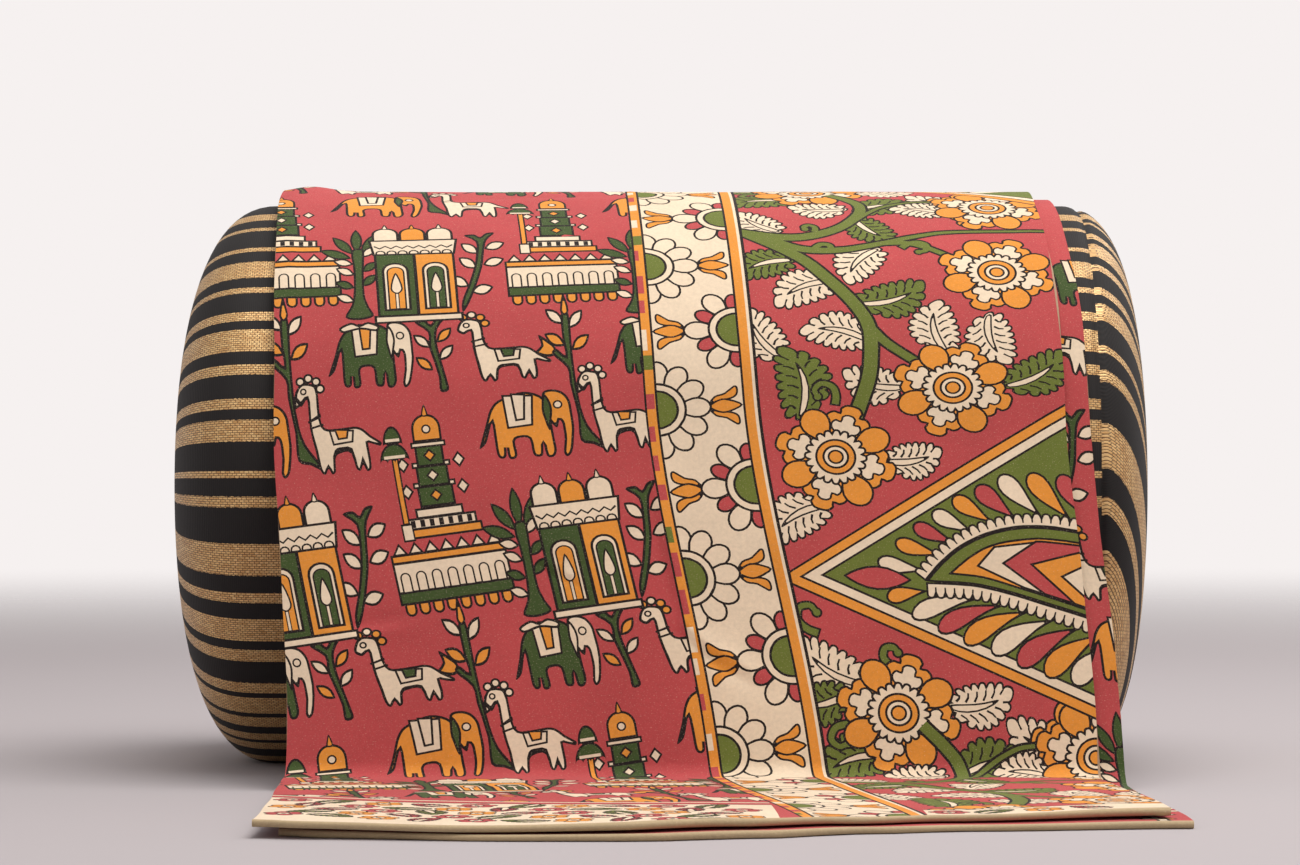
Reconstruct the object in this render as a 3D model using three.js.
// A folded length of printed cotton draped over a round bolster.
// Millimetres, +X along the bolster, +Y away from the viewer, +Z up.
import * as THREE from "three";

// The bolster: a round filled body with two crowned ends, pressed flat where it rests
const BOLSTER_RADIUS = 141;
const REST_DEPTH = 2;
const ROUND_STEP = 6;
const LEFT_END = { side: -1, shoulder: 185, crown: 52, power: 2.6 };
const RIGHT_END = { side: 1, shoulder: 200, crown: 46.5, power: 3 };
const END_RINGS = 8;
const BODY_RINGS = 4;
const SEAM_PLACE = 215;
const SEAM_HALF_WIDTH = 2.5;
const SEAM_DEPTH = 1.5;

// The cloth: one sheet folded back and forth in four layers, layer 0 on top
const SHEET = 1.2;
const PITCH = 2;
const SEAT_GAP = 0.4;
const LAYERS = 4;
const LEAVE_ANGLE = 72;
const TURN_OUT_RADIUS = 10;
const BACK_ANGLE = -90;

// Heights of the hems and of the fold behind the bolster
const BACK_HEIGHT = { firstHem: 38, fold: 46, lastHem: 54 };

// Steps along each stretch of a layer
const RUN_STEPS = 6;
const TURN_STEPS = 5;
const DROP_STEPS = 4;
const BACK_STEPS = 3;
const FOLD_STEPS = 6;

// Where the grid lines cross the sheet, as shares of its width, closer near the left hem
const COLUMNS = [0, 0.035, 0.08, 0.2, 0.35, 0.5, 0.64, 0.76, 0.88, 1];

// The sheet's side edges along the drape: stage 0 is the lip, 1 the turn outwards, 2 where it meets
// the bolster, 3 the top, 4 the bolster's back, 5 the hem. slip is how far the lower fold lies to the right.
const EDGES = [
  { stage: 0, left: -163, right: 220, slip: 9 },
  { stage: 1, left: -168, right: 208, slip: 12.5 },
  { stage: 2, left: -179, right: 197, slip: 11.5 },
  { stage: 3, left: -185, right: 190, slip: 11 },
  { stage: 4, left: -188, right: 187, slip: 11 },
  { stage: 5, left: -190, right: 185, slip: 11 },
];
const BACK_SLIP = 5;

// How far the two folded lips reach forward of the bolster's axis, across the sheet
const LIPS = [
  { across: -165, upper: 434, lower: 424 },
  { across: -140, upper: 440, lower: 436 },
  { across: -70, upper: 448, lower: 450 },
  { across: -15, upper: 447, lower: 450 },
  { across: 35, upper: 433, lower: 437 },
  { across: 80, upper: 413, lower: 417 },
  { across: 125, upper: 397, lower: 405 },
  { across: 220, upper: 382, lower: 392 },
];

// Unevenness: the layers stand looser or closer at the lips, and a pucker lifts the top left
const LOFT = { share: 0.14, wave: 31, phase: 0.8 };
const PUCKER = { across: -171, width: 13, angle: 2, spread: 14, height: 2.6 };

const radians = THREE.MathUtils.degToRad;
const lerp = THREE.MathUtils.lerp;
const clamp = THREE.MathUtils.clamp;
const axisHeight = BOLSTER_RADIUS - REST_DEPTH;

// Value of one named column at a place between its rows, eased from row to row.
function between(rows, key, place, column) {
  const last = rows.length - 1;
  if (place <= rows[0][key]) return rows[0][column];
  if (place >= rows[last][key]) return rows[last][column];
  const next = rows.findIndex((row) => row[key] > place);
  const from = rows[next - 1];
  const to = rows[next];
  const share = (place - from[key]) / (to[key] - from[key]);
  return lerp(from[column], to[column], share * share * (3 - 2 * share));
}

function bell(distance, width) {
  return Math.exp(-((distance / width) ** 2));
}

// A closed body from rows of points, with a quad or a fan between rows
function bodyFrom(points, faces) {
  const geometry = new THREE.BufferGeometry();
  geometry.setAttribute("position", new THREE.Float32BufferAttribute(points.flat(), 3));
  geometry.setIndex(faces.flat());
  geometry.computeVertexNormals();
  return geometry;
}

function quad(a, b, c, d) {
  return [a, b, c, a, c, d];
}

// Radius of the bolster at a place on one of its ends: a superellipse from shoulder to pole
function endRadius(end, along) {
  const share = clamp((along - end.shoulder) / end.crown, 0, 1);
  return BOLSTER_RADIUS * (1 - share ** end.power) ** (1 / end.power);
}

// Rings of one end from shoulder outwards, without its pole
function endRings(end) {
  const rings = [];
  for (let step = 1; step < END_RINGS; step += 1) {
    const turn = radians((90 * step) / END_RINGS);
    const along = end.shoulder + end.crown * Math.sin(turn) ** (2 / end.power);
    rings.push({ x: end.side * along, r: endRadius(end, along) });
  }
  return rings;
}

function bolsterRings() {
  const body = [];
  for (let step = 0; step <= BODY_RINGS; step += 1) {
    body.push({ x: lerp(-LEFT_END.shoulder, RIGHT_END.shoulder, step / BODY_RINGS), r: BOLSTER_RADIUS });
  }
  const seam = [-1, 0, 1].map((side) => {
    const along = SEAM_PLACE + side * SEAM_HALF_WIDTH;
    const drawnIn = side === 0 ? SEAM_DEPTH : 0;
    return { x: along, r: endRadius(RIGHT_END, along) - drawnIn };
  });
  const clearOfSeam = (ring) => Math.abs(ring.x - SEAM_PLACE) > 2 * SEAM_HALF_WIDTH;
  const right = [...endRings(RIGHT_END).filter(clearOfSeam), ...seam];
  right.sort((a, b) => a.x - b.x);
  return [...endRings(LEFT_END).reverse(), ...body, ...right];
}

function bolsterGeometry() {
  const rings = bolsterRings();
  const count = 360 / ROUND_STEP;
  const points = rings.flatMap((ring) =>
    Array.from({ length: count }, (_, index) => {
      const turn = radians(index * ROUND_STEP);
      const height = axisHeight + ring.r * Math.cos(turn);
      return [ring.x, -ring.r * Math.sin(turn), Math.max(height, 0)];
    }),
  );
  const leftPole = points.push([-LEFT_END.shoulder - LEFT_END.crown, 0, axisHeight]) - 1;
  const rightPole = points.push([RIGHT_END.shoulder + RIGHT_END.crown, 0, axisHeight]) - 1;
  const lastRing = (rings.length - 1) * count;
  const faces = [];
  for (let index = 0; index < count; index += 1) {
    const next = (index + 1) % count;
    for (let ring = 0; ring < rings.length - 1; ring += 1) {
      const here = ring * count;
      const there = here + count;
      faces.push(quad(here + index, here + next, there + next, there + index));
    }
    faces.push([leftPole, next, index]);
    faces.push([rightPole, lastRing + index, lastRing + next]);
  }
  return bodyFrom(points, faces);
}

// The layers' spacing at a place of the resting run: 1 at the turn, uneven towards the lip
function loft(across, run) {
  return 1 + LOFT.share * run * Math.sin(across / LOFT.wave + LOFT.phase);
}

// Height of a layer's middle over the ground
function layerHeight(layer, across, run) {
  return SHEET / 2 + (LAYERS - 1 - layer) * PITCH * loft(across, run);
}

// Radius of a layer's middle round the bolster's axis
function layerRadius(layer, across, angle) {
  const lift = PUCKER.height * bell(across - PUCKER.across, PUCKER.width) * bell(angle - PUCKER.angle, PUCKER.spread);
  const above = LAYERS - 1 - layer;
  return BOLSTER_RADIUS + SEAT_GAP + SHEET / 2 + above * (PITCH + lift / (LAYERS - 1));
}

// Centre of the curve that turns the drop outwards, shared by all layers
function turnCentre() {
  const leave = radians(LEAVE_ANGLE);
  const height = SHEET / 2 + (LAYERS - 1) * PITCH + TURN_OUT_RADIUS;
  const radius = BOLSTER_RADIUS + SEAT_GAP + SHEET / 2 + (LAYERS - 1) * PITCH;
  const reach = radius + TURN_OUT_RADIUS;
  const fall = (axisHeight + reach * Math.cos(leave) - height) / Math.sin(leave);
  return { y: -reach * Math.sin(leave) - fall * Math.cos(leave), z: height };
}

// A place on a layer: y and z of its middle, and its outward direction as an angle from up towards the viewer.
// Stages 0 to 1 lie on the ground, 1 is the turn, 1 to 2 the drop, 2 to 4 round the bolster, 4 to 5 the back.
function onGround(layer, share) {
  return {
    stage: share,
    facing: 0,
    place: (across) => {
      const centre = turnCentre();
      const lip = between(LIPS, "across", across, layer < 2 ? "upper" : "lower");
      return { y: lerp(-lip, centre.y, share), z: layerHeight(layer, across, 1 - share) };
    },
  };
}

function onTurn(layer, share) {
  const facing = LEAVE_ANGLE * share;
  const radius = TURN_OUT_RADIUS + layer * PITCH;
  return {
    stage: 1,
    facing,
    place: () => {
      const centre = turnCentre();
      return {
        y: centre.y + radius * Math.sin(radians(facing)),
        z: centre.z - radius * Math.cos(radians(facing)),
      };
    },
  };
}

function onDrop(layer, share) {
  return {
    stage: 1 + share,
    facing: LEAVE_ANGLE,
    place: (across) => {
      const low = onTurn(layer, 1).place(across);
      const high = onBolster(layer, LEAVE_ANGLE).place(across);
      return { y: lerp(low.y, high.y, share), z: lerp(low.z, high.z, share) };
    },
  };
}

function onBolster(layer, angle) {
  return {
    stage: angle >= 0 ? 3 - angle / LEAVE_ANGLE : 3 + angle / BACK_ANGLE,
    facing: angle,
    place: (across) => {
      const radius = layerRadius(layer, across, angle);
      return { y: -radius * Math.sin(radians(angle)), z: axisHeight + radius * Math.cos(radians(angle)) };
    },
  };
}

function onBack(layer, share, lowest) {
  return {
    stage: 4 + share,
    facing: BACK_ANGLE,
    place: (across) => ({
      y: layerRadius(layer, across, BACK_ANGLE),
      z: lerp(axisHeight, lowest, share),
    }),
  };
}

// One layer from its lip to its lowest place behind the bolster
function layerPath(layer) {
  const lowest = [BACK_HEIGHT.firstHem, BACK_HEIGHT.fold, BACK_HEIGHT.fold, BACK_HEIGHT.lastHem][layer];
  const path = [];
  for (let step = 0; step < RUN_STEPS; step += 1) path.push(onGround(layer, step / RUN_STEPS));
  for (let step = 0; step < TURN_STEPS; step += 1) path.push(onTurn(layer, step / TURN_STEPS));
  for (let step = 0; step < DROP_STEPS; step += 1) path.push(onDrop(layer, step / DROP_STEPS));
  for (let angle = LEAVE_ANGLE; angle > BACK_ANGLE; angle -= ROUND_STEP) path.push(onBolster(layer, angle));
  for (let step = 0; step <= BACK_STEPS; step += 1) path.push(onBack(layer, step / BACK_STEPS, lowest));
  return path.map((station) => ({ ...station, layer, flip: layer % 2 === 1 }));
}

// A half turn between the ends of two layers, without its two end stations. spin is 1 where the printed
// side is outside, as at the lips, and -1 where it is inside, as behind the bolster.
function foldPath(upper, first, second, spin) {
  const path = [];
  for (let step = 1; step < FOLD_STEPS; step += 1) {
    const facing = first.facing + (first.flip ? 180 : 0) + (spin * 180 * step) / FOLD_STEPS;
    path.push({
      stage: first.stage,
      flip: false,
      layer: upper + step / FOLD_STEPS,
      facing,
      place: (across) => {
        const from = first.place(across);
        const to = second.place(across);
        const reach = (spin * Math.hypot(from.y - to.y, from.z - to.z)) / 2;
        return {
          y: (from.y + to.y) / 2 - reach * Math.sin(radians(facing)),
          z: (from.z + to.z) / 2 + reach * Math.cos(radians(facing)),
        };
      },
    });
  }
  return path;
}

// The whole sheet from the hem of layer 0 to the hem of layer 3
function sheetPath() {
  const layers = [0, 1, 2, 3].map(layerPath);
  layers[0].reverse();
  layers[2].reverse();
  const lipFold = (upper) => foldPath(upper, layers[upper].at(-1), layers[upper + 1][0], 1);
  const backFold = foldPath(1, layers[1].at(-1), layers[2][0], -1);
  return [...layers[0], ...lipFold(0), ...layers[1], ...backFold, ...layers[2], ...lipFold(2), ...layers[3]];
}

// How far a place of the sheet is pushed to the right of the top layer
function slipAt(layer, stage) {
  const slip = between(EDGES, "stage", stage, "slip");
  const behind = clamp((stage - 3) / 2, 0, 1);
  const upper = layer < 1 ? 0 : behind * BACK_SLIP;
  const lower = layer > 2 ? slip : lerp(slip, BACK_SLIP, behind);
  return layer < 1.5 ? upper : lower;
}

function sheetGeometry() {
  const path = sheetPath();
  const printSide = [];
  const reverseSide = [];
  for (const station of path) {
    const left = between(EDGES, "stage", station.stage, "left");
    const right = between(EDGES, "stage", station.stage, "right");
    const slip = slipAt(station.layer, station.stage);
    const facing = radians(station.facing + (station.flip ? 180 : 0));
    for (const share of COLUMNS) {
      const across = lerp(left, right, share);
      const middle = station.place(across);
      const y = (SHEET / 2) * -Math.sin(facing);
      const z = (SHEET / 2) * Math.cos(facing);
      printSide.push([across + slip, middle.y + y, middle.z + z]);
      reverseSide.push([across + slip, middle.y - y, middle.z - z]);
    }
  }
  const row = COLUMNS.length;
  const under = printSide.length;
  const faces = [];
  for (let step = 0; step < path.length - 1; step += 1) {
    const here = step * row;
    const next = here + row;
    for (let column = 0; column < row - 1; column += 1) {
      faces.push(quad(here + column, next + column, next + column + 1, here + column + 1));
      faces.push(quad(under + here + column, under + here + column + 1, under + next + column + 1, under + next + column));
    }
    const edge = row - 1;
    faces.push(quad(here, under + here, under + next, next));
    faces.push(quad(here + edge, next + edge, under + next + edge, under + here + edge));
  }
  const end = (path.length - 1) * row;
  for (let column = 0; column < row - 1; column += 1) {
    faces.push(quad(column, column + 1, under + column + 1, under + column));
    faces.push(quad(end + column, under + end + column, under + end + column + 1, end + column + 1));
  }
  return bodyFrom([...printSide, ...reverseSide], faces);
}

function named(name, geometry, color, roughness) {
  const material = new THREE.MeshStandardMaterial({ color, roughness, metalness: 0 });
  const mesh = new THREE.Mesh(geometry, material);
  mesh.name = name;
  return mesh;
}

const group = new THREE.Group();
group.add(named("striped_bolster", bolsterGeometry(), 0x2a1f1a, 0.6));
group.add(named("kalamkari_cloth", sheetGeometry(), 0xb5474c, 0.9));

// The origin is the middle of the footprint, at the lowest height
const footprint = new THREE.Box3().setFromObject(group);
const middle = footprint.getCenter(new THREE.Vector3());
group.position.set(-middle.x, -middle.y, 0);

export default group;
